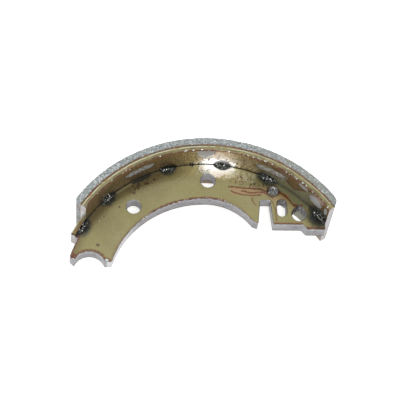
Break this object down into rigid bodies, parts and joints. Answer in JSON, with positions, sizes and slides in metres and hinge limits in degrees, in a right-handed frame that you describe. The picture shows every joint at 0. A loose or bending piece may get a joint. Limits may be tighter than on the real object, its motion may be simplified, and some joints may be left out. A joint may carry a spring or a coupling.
{
  "type": "drum brake shoe",
  "caption": "Curved drum brake shoe of T section: flat punched web welded inside a curved steel table, with a bonded friction lining.",
  "frame": {"origin": "on the anchor pin's axis, at the middle of the shoe's width; the drum's axis is at x 0.07318, y -0.01975", "axes": "+Z along the anchor pin's and the drum's axes, +Y parallel to the line from the drum's axis through the middle of the lining's arc, +X towards the actuator end"},
  "size_m": [0.166, 0.0769, 0.05],
  "materials": {
    "web_lacquer": "thin golden-olive lacquer over steel plate",
    "table_lacquer": "thin golden-olive lacquer over rolled steel, brown inside",
    "friction_lining": "granular moulded friction material, ground",
    "adhesive": "cured brown adhesive",
    "weld_metal": "burnt weld beads under lacquer"
  },
  "bodies": {
    "root": {"table": "table_lacquer", "bond_film": "adhesive", "lining": "friction_lining", "web": "web_lacquer", "welds": "weld_metal"}
  },
  "joints": []
}
